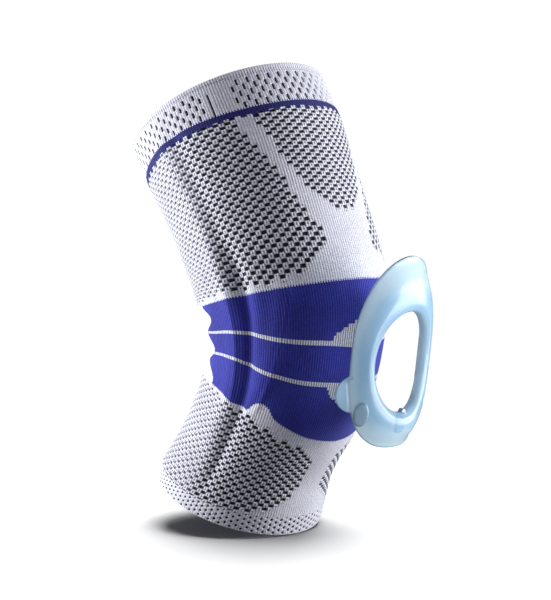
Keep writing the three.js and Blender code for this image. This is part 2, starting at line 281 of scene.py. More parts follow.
def table_curve(rows, x):
    """Cubic through a table's rows. The slope at a row is the harmonic mean of the slopes
    before and after it, or 0 where they differ in sign, so nothing overshoots."""
    xs = rows[:, 0]
    ys = rows[:, 1]
    slopes = np.diff(ys) / np.diff(xs)
    before = slopes[:-1]
    after = slopes[1:]
    same = before * after > 0
    total = np.where(same, before + after, 1)
    middle = np.where(same, 2 * before * after / total, 0)
    tangents = np.concatenate([slopes[:1], middle, slopes[-1:]])
    i = np.clip(np.searchsorted(xs, x, side="right") - 1, 0, len(xs) - 2)
    span = xs[i + 1] - xs[i]
    t = np.clip((x - xs[i]) / span, 0, 1)
    rise = t * t * (3 - 2 * t)
    leave = t * (1 - t) ** 2 * span * tangents[i]
    arrive = t * t * (t - 1) * span * tangents[i + 1]
    return ys[i] + (ys[i + 1] - ys[i]) * rise + leave + arrive


def reach(column, along):
    """Reach of the section to the front (2), back (3) or side (4) at a place along the leg."""
    return table_curve(np.stack([SECTIONS[:, 0], SECTIONS[:, 1] * SECTIONS[:, column]], axis=1), along)


def lean_at(along):
    """Forward lean of the leg's axis in radians: it turns smoothly over BEND_LENGTH."""
    share = smooth(along, -BEND_LENGTH / 2, BEND_LENGTH / 2)
    return np.radians(CALF_LEAN - share * (CALF_LEAN + THIGH_LEAN))


def axis_at(along):
    """Depth and height of the leg's axis: the running sum of short steps along its lean."""
    step = 0.25
    places = np.arange(-CALF_LENGTH - 20, THIGH_LENGTH + 20, step)
    lean = lean_at(places + step / 2)
    y = np.concatenate([[0], np.cumsum(-np.sin(lean) * step)[:-1]])
    z = np.concatenate([[0], np.cumsum(np.cos(lean) * step)[:-1]])
    y -= np.interp(0, places, y)
    z -= np.interp(0, places, z)
    return np.interp(along, places, y), np.interp(along, places, z)


def along_of_share(share):
    """A share of the calf's length below the knee, or of the thigh's above it, in mm."""
    return share * (CALF_LENGTH if share < 0 else THIGH_LENGTH)


def fold_height(along, turn):
    """Rounded ridges and valleys that run up both sides and fade at their ends:
    depth times exp(-(offset / half width)^2), offset measured in turn from the fold's line."""
    height = np.zeros(np.broadcast(along, turn).shape)
    for low, low_turn, high, high_turn, half_turn, depth in FOLDS:
        start = along_of_share(low)
        share = (along - start) / (along_of_share(high) - start)
        fade = smooth(share, 0, 0.2) * (1 - smooth(share, 0.8, 1))
        line = low_turn + (high_turn - low_turn) * np.clip(share, 0, 1)
        offset = (np.abs(turn) - line) / half_turn
        height += FOLD_DEPTH * depth * fade * np.exp(-offset * offset)
    return height


def knit_points(along, turn, outset):
    """Oval section square to the leg's axis, taken out by outset. The calf's rows slant
    up at the shin by CALF_HEM_SLANT at the hem."""
    angle = np.radians(turn)
    lean = lean_at(along)
    axis_y, axis_z = axis_at(along)
    depth = np.where(np.cos(angle) > 0, reach(2, along), reach(3, along))
    forward = (depth + outset) * np.cos(angle)
    aside = (reach(4, along) + outset) * np.sin(angle)
    slide = CALF_HEM_SLANT * np.clip(-along / CALF_LENGTH, 0, 1) * np.cos(angle)
    return np.stack([
        -aside,
        axis_y - np.cos(lean) * forward - np.sin(lean) * slide,
        axis_z - np.sin(lean) * forward + np.cos(lean) * slide,
    ], axis=-1)


def back_share(turn):
    """0 at the front and 1 at the back, as a cosine wave."""
    return (1 - np.cos(np.radians(turn))) / 2


def thigh_hem(turn):
    """Upper end of the sleeve."""
    return THIGH_LENGTH + 0 * turn


def stripe_foot(turn):
    """Lower edge of the stripe: it rises at the sides as sin^4 of the turn."""
    return THIGH_LENGTH - UPPER_CUFF_LENGTH - STRIPE_WIDTH + STRIPE_RISE * np.sin(np.radians(turn)) ** 4


def stripe_top(turn):
    """Upper edge of the stripe."""
    return stripe_foot(turn) + STRIPE_WIDTH


def band_top(turn):
    """Upper edge of the blue band."""
    return BAND_ABOVE_KNEE + 0 * turn


def band_foot(turn):
    """Lower edge of the blue band, from its table."""
    return -BAND_BELOW_KNEE * table_curve(BAND_EDGE, np.abs(turn))


def calf_hem(turn):
    """Lower end of the sleeve, which drops to the back."""
    return -CALF_LENGTH - CALF_HEM_DROP * back_share(turn)


def cuff_top(turn):
    """Upper edge of the lower cuff, which narrows to the back."""
    return -CALF_LENGTH + LOWER_CUFF_LENGTH - (CALF_HEM_DROP + LOWER_CUFF_TAPER) * back_share(turn)


def panel_edge(along):
    """Turn of the white panel's edge: scallops as a cosine wave up the band."""
    share = (along + BAND_BELOW_KNEE) / (BAND_ABOVE_KNEE + BAND_BELOW_KNEE)
    return PANEL_EDGE_TURN + SCALLOP_TURN * np.cos(2 * np.pi * SCALLOP_COUNT * share)


def turns_between(low, high):
    """Turns of the mesh columns from low to high, on the grid that all pieces share."""
    step = 360 / MESH_COLUMNS
    return np.arange(np.ceil(low / step), np.floor(high / step) + 1) * step


def columns_of(turn, knit):
    """Turn counted in stitch columns."""
    return turn * knit.columns / 360


def rib_relief(turn, knit):
    """Ribs: a cosine with RIBS crests in each stitch column and a trough at its edges."""
    return -RIB_HEIGHT * np.cos(2 * np.pi * RIBS * columns_of(turn, knit))


def cell_middle(turn, repeat_place, knit):
    """Middle of the nearest opening in columns and repeats: openings sit in the middle of
    a column, in every other column half a repeat higher, and skew moves each next column
    on from the front."""
    column = np.floor(columns_of(turn, knit))
    shift = 0.5 * (column % 2) + knit.skew * np.abs(column + 0.5)
    return column + 0.5, np.round(repeat_place - shift) + shift


def opening_relief(turn, repeat_place, knit, field):
    """Relief in a field of openings: each opening sinks in by OPENING_DEPTH, and the block
    of stitches between it and the next rises by the knit's block."""
    column_mid, repeat_mid = cell_middle(turn, repeat_place, knit)
    across = np.abs(columns_of(turn, knit) - column_mid) / knit.half_column
    up = np.abs(repeat_place - repeat_mid)
    sink = (1 - smooth(across, 0.7, 1.15)) * (1 - smooth(up / knit.half_repeat, 0.6, 1.4))
    sink = sink * (1 - (1 - SLACK_DEPTH) * smooth(np.abs(turn), *SLACK_TURNS))
    block = smooth(up, knit.half_repeat, 0.45)
    return field * (knit.block * block - (OPENING_DEPTH + 0.5 * rib_relief(turn, knit)) * sink)


def even_levels(count):
    """Rows at equal shares of a piece's height."""
    return np.linspace(0, 1, count + 1)


def hem_levels(height, step, low_hem, high_hem):
    """Rows about step apart, with closer ones in the rounding at a hem."""
    close = np.array([0, 0.08, 0.25, 0.5, 0.85]) * HEM_ROUNDING
    start = np.concatenate([close, [1.3]]) if low_hem else np.array([0.0])
    end = height - (np.concatenate([close, [1.3]]) if high_hem else np.array([0.0]))
    between = np.arange(start[-1] + step, end.min() - step / 2, step)
    return np.unique(np.concatenate([start, between, end])) / height


def hem_inset(distance):
    """Quarter circle that takes a wall's face in towards its middle at a hem."""
    share = np.clip(1 - distance / HEM_ROUNDING, 0, 1)
    return HEM_ROUNDING * (1 - np.sqrt(1 - share * share))


def place_rows(foot, top, levels, turn):
    """Along of every grid point: a share of the way from the foot line to the top line."""
    low = foot(turn) + SEAM / 2
    high = top(turn) - SEAM / 2
    return low + (high - low) * levels[:, None]


def new_mesh(name, points, quads, polygons=()):
    """Mesh from whole arrays of points in mm, four-sided faces and a few larger ones."""
    mesh = bpy.data.meshes.new(name)
    mesh.vertices.add(len(points))
    mesh.vertices.foreach_set("co", (points / 1000).ravel())
    corners = np.concatenate([quads.ravel(), *polygons]).astype(np.int32)
    sizes = np.array([4] * len(quads) + [len(polygon) for polygon in polygons])
    starts = np.concatenate([[0], np.cumsum(sizes)[:-1]]).astype(np.int32)
    mesh.loops.add(len(corners))
    mesh.loops.foreach_set("vertex_index", corners)
    mesh.polygons.add(len(sizes))
    mesh.polygons.foreach_set("loop_start", starts)
    mesh.update(calc_edges=True)
    mesh.polygons.foreach_set("use_smooth", np.ones(len(sizes), dtype=bool))
    return mesh


def quads_between(low, high):
    """Four-sided faces from rows of corners to the rows beside them, closed round the rows."""
    return np.stack([low, high, np.roll(high, -1, axis=1), np.roll(low, -1, axis=1)], axis=-1)


def new_object(name, data):
    """Object in the scene."""
    item = bpy.data.objects.new(name, data)
    bpy.context.scene.collection.objects.link(item)
    return item


def new_piece(name, mesh, material, slot, *nodes):
    """Shown piece that rides on the body and stands for its CAD nodes. Its slot is not used."""
    piece = new_object(name, mesh)
    mesh.materials.append(material)
    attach(piece, "root")
    if nodes:
        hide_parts(*nodes)
    return piece


def write_knit_map(mesh, u, v, knit):
    """UV map in stitch columns and repeats. A face across the back's seam gets its low
    corners moved up by a whole turn."""
    corners = np.empty(len(mesh.loops), dtype=np.int32)
    mesh.loops.foreach_get("vertex_index", corners)
    starts = np.empty(len(mesh.polygons), dtype=np.int32)
    mesh.polygons.foreach_get("loop_start", starts)
    face_u = u[corners]
    high = np.maximum.reduceat(face_u, starts)
    sizes = np.diff(np.append(starts, len(corners)))
    crossing = np.repeat(high, sizes) - face_u > knit.columns / 2
    face_u = face_u + knit.columns * crossing
    layer = mesh.uv_layers.new(name="knit")
    layer.data.foreach_set("uv", np.stack([face_u, v[corners]], axis=1).ravel())


def write_attribute(mesh, name, domain, values):
    """Number for each point or face that the piece's material reads."""
    layer = mesh.attributes.new(name, "FLOAT", domain)
    layer.data.foreach_set("value", values.astype(np.float32).ravel())


def side_faces(outer, inner, keep, flip):
    """Faces between the outer and inner wall at an open side. Each spans one row of the
    inner wall and the rows of the outer wall beside it."""
    faces = []
    for row, (low, high) in enumerate(zip(keep[:-1], keep[1:])):
        face = [outer[low], inner[row], inner[row + 1], *outer[high:low:-1]]
        faces.append(np.array(face[::-1] if flip else face))
    return faces


def knit_wall(name, turn, along, repeat_place, outset, knit, closed, stride, hem=0.0):
    """Closed wall of knit: an outer grid with its relief, an inner grid of every stride-th
    row and the six at each end, and faces that join them at the foot, at the top and at
    open sides."""
    rows, columns = along.shape
    end = np.arange(6)
    keep = np.unique(np.concatenate([np.arange(0, rows, stride), end, rows - 6 + end]))
    keep = keep[(keep >= 0) & (keep < rows)]
    fold = fold_height(along, turn)
    outer_points = knit_points(along, turn, fold + outset - hem).reshape(-1, 3)
    inner_points = knit_points(along[keep], turn[keep], (fold - WALL + hem)[keep]).reshape(-1, 3)
    outer = np.arange(rows * columns).reshape(rows, columns)
    inner = rows * columns + np.arange(len(keep) * columns).reshape(len(keep), columns)
    inward = [0, 3, 2, 1]
    grids = [
        quads_between(outer[:-1], outer[1:]),
        quads_between(inner[:-1], inner[1:])[..., inward],
        quads_between(outer[:1], inner[:1])[..., inward],
        quads_between(outer[-1:], inner[-1:]),
    ]
    used = columns if closed else columns - 1
    quads = np.concatenate([grid[:, :used].reshape(-1, 4) for grid in grids])
    polygons = []
    if not closed:
        polygons += side_faces(outer[:, 0], inner[:, 0], keep, False)
        polygons += side_faces(outer[:, -1], inner[:, -1], keep, True)
    mesh = new_mesh(name, np.concatenate([outer_points, inner_points]), quads, polygons)
    u = columns_of(np.concatenate([turn.ravel(), turn[keep].ravel()]), knit)
    v = np.concatenate([repeat_place.ravel(), repeat_place[keep].ravel()])
    write_knit_map(mesh, u, v, knit)
    mesh.set_sharp_from_angle(angle=math.radians(62))
    return mesh


def face_middles(values, closed):
    """Mean of the four corners of each face of a grid."""
    across = (values + np.roll(values, -1, axis=1)) / 2
    if not closed:
        across = across[:, :-1]
    return (across[1:] + across[:-1]) / 2


def repeat_height(tube, turn):
    """Height of a repeat in mm."""
    return (tube.top(turn) - tube.foot(turn)) / tube.count if tube.count else tube.knit.repeat


def field_at_cells(turn, repeat_place, tube):
    """1 where the nearest opening's middle lies in the openwork field, so that the field's
    edge steps from stitch to stitch."""
    column_mid, repeat_mid = cell_middle(turn, repeat_place, tube.knit)
    middle_turn = column_mid * 360 / tube.knit.columns
    along = tube.foot(middle_turn) + (repeat_mid + tube.start) * repeat_height(tube, middle_turn)
    return tube.inside(along, np.abs(middle_turn), repeat_mid).astype(float)


def every_row(turns, levels):
    """The same turns on each row."""
    return np.broadcast_to(turns, (len(levels), len(turns)))


def rows_round(levels):
    """Turns of a piece that goes all the way round, from the back by the front."""
    return every_row(turns_between(-180, 180)[:-1], levels)


def openwork_grid(tube):
    """Grid of a tube of knit, with its openings sunk into the outer face inside its field."""
    turn = rows_round(tube.levels)
    along = place_rows(tube.foot, tube.top, tube.levels, turn)
    repeat_place = (along - tube.foot(turn)) / repeat_height(tube, turn) - tube.start
    field = field_at_cells(turn, repeat_place, tube)
    outset = rib_relief(turn, tube.knit) + opening_relief(turn, repeat_place, tube.knit, field)
    return turn, along, repeat_place, outset


def openwork_piece(name, node, tube, grid, stride, material, hem=0.0):
    """Closed tube of a grid, with its openwork field kept on its outer faces, which come
    first. The middles of the faces across the seam are put at the back."""
    turn, _, repeat_place, _ = grid
    mesh = knit_wall(name, *grid, tube.knit, True, stride, hem)
    middle_turn = turn[:-1] + 180 / MESH_COLUMNS
    values = field_at_cells(middle_turn, face_middles(repeat_place, True), tube)
    field = np.zeros(len(mesh.polygons))
    field[:values.size] = values.ravel()
    write_attribute(mesh, "openwork", "FACE", field)
    return new_piece(name + "_fabric", mesh, material, "knit_white", node)


def thigh_inside(along, turn, repeat_place):
    """Openwork of the thigh: a field on each side and a pointed one down the front."""
    foot = band_top(turn) + THIGH_MARGIN
    side = (turn > table_curve(SIDE_FIELD, along)) & (along > foot)
    front = (turn < table_curve(FRONT_FIELD, along)) & (along > FRONT_FIELD[0, 0])
    return side | front


def calf_inside(along, turn, repeat_place):
    """Openwork of the calf: all but the shin and a margin under the blue band."""
    return (turn > table_curve(CALF_FIELD, along)) & (along < band_foot(turn) - CALF_MARGIN)


def make_thigh(material):
    """Openwork tube over the thigh."""
    tube = Tube(THIGH_KNIT, band_top, stripe_foot, even_levels(THIGH_REPEATS * ROWS_A_REPEAT),
                THIGH_REPEATS, 0.0, thigh_inside)
    piece = openwork_piece("thigh", "thigh_knit", tube, openwork_grid(tube), INNER_STRIDE, material)
    return piece


def make_calf(material):
    """Openwork tube over the calf."""
    tube = Tube(CALF_KNIT, cuff_top, band_foot, even_levels(CALF_ROWS), 0, 0.0, calf_inside)
    piece = openwork_piece("calf", "calf_knit", tube, openwork_grid(tube), INNER_STRIDE, material)
    return piece


def slot_inside(along, turn, repeat_place):
    """Slots of the upper cuff, in rows up from the stripe, with a plain patch at the seam."""
    seam = (turn > SEAM_PATCH_TURN) & (turn < SEAM_SLOT_TURN + 2)
    return (repeat_place < 2.1) & (repeat_place > -0.1) & ~seam


def seam_slot(turn, repeat_place):
    """1 in the long slot beside the plain patch, from the stripe up, falling to 0 around it."""
    across = np.abs(np.abs(turn) - SEAM_SLOT_TURN)
    below = 1 - smooth(repeat_place, SEAM_SLOT_TOP - 0.05, SEAM_SLOT_TOP + 0.05)
    return (1 - smooth(across, 0.3, 0.9)) * below


def make_upper_cuff(material):
    """Ribbed edge band round the thigh with slots, a long side slot and a turned welt."""
    tube = Tube(CUFF_KNIT, stripe_top, thigh_hem, hem_levels(UPPER_CUFF_LENGTH, 0.7, False, True),
                UPPER_CUFF_LENGTH / CUFF_KNIT.repeat, CUFF_ROW_START, slot_inside)
    turn, along, repeats, outset = openwork_grid(tube)
    distance = thigh_hem(turn) - along
    outset -= WELT_DEPTH * smooth(distance, *WELT_PLACES[:2]) * (1 - smooth(distance, *WELT_PLACES[2:]))
    outset -= OPENING_DEPTH * seam_slot(turn, repeats)
    grid = (turn, along, repeats, outset)
    hem = hem_inset(distance)
    piece = openwork_piece("upper_cuff", "upper_cuff", tube, grid, CUFF_STRIDE, material, hem)
    return piece


def dot_inside(along, turn, repeat_place):
    """Dots of the lower cuff, from a little above its hem."""
    return repeat_place > 0.3


def make_lower_cuff(material):
    """Edge band round the calf with small round holes."""
    tube = Tube(DOT_KNIT, calf_hem, cuff_top, hem_levels(LOWER_CUFF_LENGTH, 0.6, True, False),
                LOWER_CUFF_LENGTH / DOT_KNIT.repeat, 0.0, dot_inside)
    grid = openwork_grid(tube)
    hem = hem_inset(grid[1] - calf_hem(grid[0]))
    piece = openwork_piece("lower_cuff", "lower_cuff", tube, grid, CUFF_STRIDE, material, hem)
    return piece


def plain_wall(name, turn, foot, top, levels, start, closed, stride):
    """Wall of plain ribbed knit between two edges, its courses counted from the start."""
    along = place_rows(foot, top, levels, turn)
    repeats = (along - start) / PLAIN_KNIT.repeat
    relief = rib_relief(turn, PLAIN_KNIT)
    return knit_wall(name, turn, along, repeats, relief, PLAIN_KNIT, closed, stride), along


def make_stripe(material):
    """Narrow blue stripe under the upper cuff."""
    levels = even_levels(STRIPE_ROWS)
    turn = rows_round(levels)
    mesh, _ = plain_wall("stripe", turn, stripe_foot, stripe_top, levels, stripe_foot(turn), True, 2)
    return new_piece("stripe_fabric", mesh, material, "knit_blue", "upper_stripe")


def seam_turns(levels, gap):
    """Turn of the scalloped seam of band and panel on each row, moved on by a gap in mm."""
    low = band_foot(np.array(float(PANEL_EDGE_TURN)))
    along = low + (BAND_ABOVE_KNEE - low) * levels
    return panel_edge(along)[:, None] + math.degrees(gap / KNEE_HALF)


def band_turns(levels):
    """Turns of the blue band's rows: it ends on both sides at the panel's scalloped edge."""
    reach_turn = PANEL_EDGE_TURN - SCALLOP_TURN - 2
    core = turns_between(-reach_turn, reach_turn)
    share = np.linspace(0, 1, 9)[1:]
    outer = core[-1] + (seam_turns(levels, -SEAM) - core[-1]) * share
    return np.concatenate([-outer[:, ::-1], every_row(core, levels), outer], axis=1)


def panel_turns(levels):
    """Turns of the white panel's rows, from its edge on one side round the back."""
    first = PANEL_EDGE_TURN + SCALLOP_TURN + 2
    core = turns_between(first, 360 - first)
    edge = seam_turns(levels, SEAM)
    start = edge + (core[0] - edge) * np.linspace(0, 1, 9)[:-1]
    return np.concatenate([start, every_row(core, levels), 360 - start[:, ::-1]], axis=1)


def line_distance(along, turn):
    """Distance in mm up the leg to the nearer of the two white lines."""
    upper = np.abs(along - table_curve(UPPER_LINE, np.abs(turn)))
    lower = np.abs(along - table_curve(LOWER_LINE, np.abs(turn)))
    return np.minimum(upper, lower)


def patch_inside(along, turn):
    """White patches at the kneecap: a dome on the upper line, and one hanging from the lower."""
    side = np.abs(turn)
    upper = (along > table_curve(UPPER_LINE, side)) & (along < table_curve(UPPER_PATCH, side))
    lower = (along < table_curve(LOWER_LINE, side)) & (along > table_curve(LOWER_PATCH, side))
    return upper | lower


def stepped(place, step):
    """Place moved to the middle of its stitch."""
    return (np.floor(place / step) + 0.5) * step


def write_band_marks(mesh, line, edge, patch):
    """Marks of the blue knit on its outer face: distance to the nearest white line and to
    the nearest edge at each point, and the white patches on each face."""
    for name, values in [("line", line), ("edge", edge)]:
        points = np.full(len(mesh.vertices), FAR)
        points[:values.size] = values.ravel()
        write_attribute(mesh, name, "POINT", points)
    faces = np.zeros(len(mesh.polygons))
    faces[:patch.size] = patch.ravel()
    write_attribute(mesh, "patch", "FACE", faces)


def make_band(material):
    """Blue compression band round the knee with white lines and patches."""
    levels = even_levels(BAND_ROWS)
    turn = band_turns(levels)
    mesh, along = plain_wall("band", turn, band_foot, band_top, levels, 0.0, False, INNER_STRIDE)
    rib_turn = 360 / PLAIN_KNIT.columns / RIBS
    patch = patch_inside(stepped(face_middles(along, False), PATCH_STEP),
                         stepped(face_middles(turn, False), rib_turn))
    edge = np.minimum(along - band_foot(turn), band_top(turn) - along)
    write_band_marks(mesh, line_distance(along, turn), edge, patch)
    piece = new_piece("knee_band_fabric", mesh, material, "knit_blue", "knee_band")
    return piece


def panel_foot(turn):
    """Lower edge of the white panel, whose turns go on past the back."""
    return band_foot(180 - np.abs(turn - 180))


def make_panel(material):
    """White panel at the hollow of the knee."""
    levels = even_levels(PANEL_ROWS)
    mesh, _ = plain_wall(
        "panel", panel_turns(levels), panel_foot, band_top, levels, 0.0, False, INNER_STRIDE)
    piece = new_piece("back_panel_fabric", mesh, material, "knit_white", "back_panel")
    return piece


def oval_reach(angle):
    """Distance from the ring's middle to its plain outline: an ellipse with a squarer foot."""
    sine = np.abs(np.sin(angle)) / (PAD_WIDTH / 2)
    cosine = np.abs(np.cos(angle)) / (PAD_HEIGHT / 2)
    power = np.where(np.cos(angle) < 0, PAD_FOOT_SQUARENESS, 2)
    return (sine ** power + cosine ** power) ** (-1 / power)


def pad_reach(angle):
    """The plain outline, or the far side of a round lobe where that reaches further."""
    oval = oval_reach(angle)
    lobe_x = PAD_WIDTH / 2 * math.sqrt(1 - (2 * LOBE_DROP / PAD_HEIGHT) ** 2) + LOBE_REACH - LOBE_RADIUS
    middle = math.hypot(lobe_x, LOBE_DROP)
    swing = np.abs(np.sin(angle)) * lobe_x - np.cos(angle) * LOBE_DROP
    chord = LOBE_RADIUS ** 2 - middle ** 2 + swing ** 2
    lobe = swing + np.sqrt(np.maximum(chord, 0))
    return np.where(chord > 0, np.maximum(oval, lobe), oval)


def pad_points(across, up, thickness, flare=0.0):
    """Point of the ring: across and up on the flat pad, curved round an upright axis,
    bowed, leaned and set in front of the kneecap. The flare is how far across a lobe
    goes on straight, at LOBE_TURN."""
    radius = PAD_CURVE_RADIUS + thickness
    turn = (across - flare) / PAD_CURVE_RADIUS
    straight = np.abs(flare) * math.sin(math.radians(LOBE_TURN))
    forward = radius * np.cos(turn) - PAD_CURVE_RADIUS - up * up / (2 * PAD_BOW_RADIUS) - straight
    lean = math.radians(PAD_LEAN)
    front = reach(2, np.array(0.0)) + PAD_STANDOFF
    return np.stack([
        radius * np.sin(turn) + flare * math.cos(math.radians(LOBE_TURN)),
        -front - forward * math.cos(lean) - up * math.sin(lean),
        -PAD_DROP - forward * math.sin(lean) + up * math.cos(lean),
    ], axis=-1)


def ring_grid(shares, angles):
    """Flat place of a point of the ring, a share of the way from the hole to the outline,
    how far that is on the way to the plain outline, and how far across it is beyond it."""
    hole_x = HOLE_WIDTH / 2 * np.sin(angles)
    hole_up = HOLE_HEIGHT / 2 * np.cos(angles) - HOLE_DROP
    plain = oval_reach(angles)
    span_x = pad_reach(angles) * np.sin(angles) - hole_x
    span_up = pad_reach(angles) * np.cos(angles) - hole_up
    whole = np.hypot(span_x, span_up)
    to_plain = np.hypot(plain * np.sin(angles) - hole_x, plain * np.cos(angles) - hole_up)
    flare = span_x * (shares - np.minimum(shares, to_plain / whole))
    return hole_x + span_x * shares, hole_up + span_up * shares, shares * whole / to_plain, flare


def ring_thickness(plain_share):
    """Thickness in mm: the profile out to the plain outline, then the flat lobe."""
    profile = table_curve(PAD_PROFILE, np.clip(plain_share, 0, 1)) * PAD_THICKNESS
    rim = PAD_PROFILE[-1, 1] * PAD_THICKNESS
    return profile + (LOBE_THICKNESS - rim) * smooth(plain_share, 0.96, 1.08)


def tab_share(across, up):
    """1 on the small tab below the hole, 0 beside it: a rounded oblong."""
    middle = HOLE_FOOT - TAB_LENGTH / 2 - TAB_GAP
    out = ((across - TAB_ASIDE) / (TAB_WIDTH / 2)) ** 4 + ((up - middle) / (TAB_LENGTH / 2)) ** 4
    return smooth(-out, -1.3, -0.7)


def make_pad(material):
    """Silicone ring: its section carried round the outline, front face first, then the
    outer edge, the rear face and the wall of the hole."""
    angles = np.linspace(0, 2 * np.pi, RING_STEPS, endpoint=False)[:, None]
    shares = np.concatenate([np.linspace(0, 1, FRONT_STEPS), np.linspace(1, 0, REAR_STEPS)])
    across, up, plain_share, flare = ring_grid(shares[None, :], angles)
    thickness = ring_thickness(plain_share)
    tab = tab_share(across, up)
    height = np.where(np.arange(len(shares)) < FRONT_STEPS, thickness + TAB_HEIGHT * tab, 0)
    points = pad_points(across, up, height, flare)
    index = np.arange(across.size).reshape(across.shape)
    quads = quads_between(index, np.roll(index, -1, axis=0)).reshape(-1, 4)
    mesh = new_mesh("ring", points.reshape(-1, 3), quads)
    mesh.set_sharp_from_angle(angle=math.radians(70))
    tint_and_painted_light = np.maximum(thickness / PAD_THICKNESS, 0.9 * smooth(plain_share, 0.98, 1.06))
    # Painted light: the blue is thinned towards the ring's top and foot, so that they read paler, as if
    # lit.
    tint_and_painted_light = tint_and_painted_light * (1 - 0.5 * smooth(np.abs(up + 4), 34, 52))
    write_attribute(mesh, "thickness", "POINT", tint_and_painted_light + 0.3 * tab)
    # Painted shade: a dark line along the outer edge, a fainter one round the hole, and a dark outline
    # round the tab, for the dark edges that bent light gives in silicone.
    rim = np.maximum(smooth(shares, 0.95, 0.985), 0.3 * smooth(-shares, -0.05, -0.01))
    write_attribute(mesh, "rim", "POINT", np.maximum(rim, 0.9 * tab * (1 - tab) + 0.15 * tab))
    piece = new_piece("silicone_ring", mesh, material, "silicone", "patella_pad")
    bevel = piece.modifiers.new("soft edge", "BEVEL")
    bevel.width = 0.0004
    bevel.segments = 3
    bevel.limit_method = "ANGLE"
    bevel.angle_limit = math.radians(50)
    return piece, [values[:, :FRONT_STEPS] for values in (across, up, height)]


def surface_height(across, up, face):
    """Height of the ring's front face at a flat place: the mean of the four nearest grid
    points, weighted by one over their distance."""
    face_across, face_up, heights = (values.ravel() for values in face)
    gap = np.hypot(across.reshape(-1, 1) - face_across, up.reshape(-1, 1) - face_up)
    nearest = np.argpartition(gap, 4, axis=1)[:, :4]
    weight = 1 / (np.take_along_axis(gap, nearest, axis=1) + 0.05)
    return ((heights[nearest] * weight).sum(axis=1) / weight.sum(axis=1)).reshape(across.shape)


def raised_boss(name, middle, half_size, height, face, material):
    """Low boss on the ring's front face: a flat oval with a rounded shoulder. Its height
    over the face is height times the root of one minus the share of the way out to the
    tenth power, and its foot is sunk into the ring."""
    share = np.concatenate([[0], np.linspace(0.12, 0.94, 9), [0.97, 0.99, 1.0, 1.0]])
    angle = np.linspace(0, 2 * np.pi, BOSS_STEPS, endpoint=False)
    across = middle[0] + half_size[0] * share[:, None] * np.sin(angle)
    up = middle[1] + half_size[1] * share[:, None] * np.cos(angle)
    base = surface_height(across, up, face)
    rise = height * np.sqrt(np.maximum(1 - share ** 10, 0))
    rise[-1] = -BOSS_SINK
    points = pad_points(across[1:], up[1:], base[1:] + rise[1:, None])
    top, foot = (pad_points(across[0, 0], up[0, 0], base[0, 0] + rise[i]) for i in (0, -1))
    rows, columns = across[1:].shape
    index = np.arange(rows * columns).reshape(rows, columns)
    after = np.roll(index, -1, axis=1)
    quads = quads_between(index[:-1], index[1:]).reshape(-1, 4)
    top_index = rows * columns
    caps = [np.array([top_index, a, b]) for a, b in zip(index[0], after[0])]
    caps += [np.array([top_index + 1, b, a]) for a, b in zip(index[-1], after[-1])]
    mesh = new_mesh(name, np.concatenate([points.reshape(-1, 3), [top], [foot]]), quads, caps)
    # Painted shade: the shoulder is painted a deeper blue and darker, as a dark outline round the boss.
    shoulder = np.append(np.repeat(smooth(share[1:], 0.84, 0.96), columns), [0, 0])
    write_attribute(mesh, "thickness", "POINT", 0.5 + 0.5 * shoulder)
    write_attribute(mesh, "rim", "POINT", 0.45 * shoulder)
    return new_piece(name, mesh, material, "silicone")


class Shader:
    """Short way to write a material's nodes: each call adds one node and gives its output."""

    def __init__(self, name):
        self.material = bpy.data.materials.new(name)
        self.material.use_nodes = True
        self.tree = self.material.node_tree
        self.surface = self.tree.nodes["Principled BSDF"].inputs

    def node(self, kind, inputs=(), output=0, **settings):
        """Node of a kind, with its settings and inputs: numbers, colours or other outputs."""
        node = self.tree.nodes.new(kind)
        for key, value in settings.items():
            setattr(node, key, value)
        self.feed(node.inputs, inputs)
        return node.outputs[output]

    def feed(self, sockets, values):
        """Each number or colour is set on its socket, and each output is linked to it."""
        for place, value in dict(values).items():
            if isinstance(value, bpy.types.NodeSocket):
                self.tree.links.new(value, sockets[place])
            else:
                sockets[place].default_value = value

    def math(self, operation, a, b=0.0):
        """Math node."""
        return self.node("ShaderNodeMath", {0: a, 1: b}, operation=operation)

    def times(self, a, b, *rest):
        """Product of two or more numbers."""
        product = self.math("MULTIPLY", a, b)
        return self.times(product, *rest) if rest else product

    def plus(self, a, b):
        """Sum of two numbers."""
        return self.math("ADD", a, b)

    def minus(self, a, b):
        """Difference of two numbers."""
        return self.math("SUBTRACT", a, b)

    def gap(self, a, b=0.0):
        """Size of the difference of two numbers."""
        return self.math("ABSOLUTE", self.minus(a, b))

    def ramp(self, value, low, high, to_low=0.0, to_high=1.0):
        """Smooth step from to_low at low to to_high at high."""
        inputs = {0: value, 1: low, 2: high, 3: to_low, 4: to_high}
        return self.node("ShaderNodeMapRange", inputs, interpolation_type="SMOOTHSTEP")

    def mix(self, share, a, b):
        """Mix of two colours."""
        return self.node("ShaderNodeMix", {0: share, 6: a, 7: b}, output=2, data_type="RGBA")

    def shade(self, share, colour):
        """Colour times a number."""
        start = colour if isinstance(colour, bpy.types.NodeSocket) else colour[:3]
        return self.node("ShaderNodeVectorMath", {0: start, "Scale": share}, operation="SCALE")

    def attribute(self, name):
        """Number kept on the mesh."""
        return self.node("ShaderNodeAttribute", output=2, attribute_name=name)

    def noise(self, scale, detail=2.0):
        """Noise on the piece's own coordinates in metres."""
        place = self.node("ShaderNodeTexCoord", output=3)
        return self.node("ShaderNodeTexNoise", {"Vector": place, "Scale": scale, "Detail": detail})

    def bump(self, strength, distance, height):
        """Relief of a height, in metres."""
        inputs = {"Strength": strength, "Distance": distance, "Height": height}
        return self.node("ShaderNodeBump", inputs)


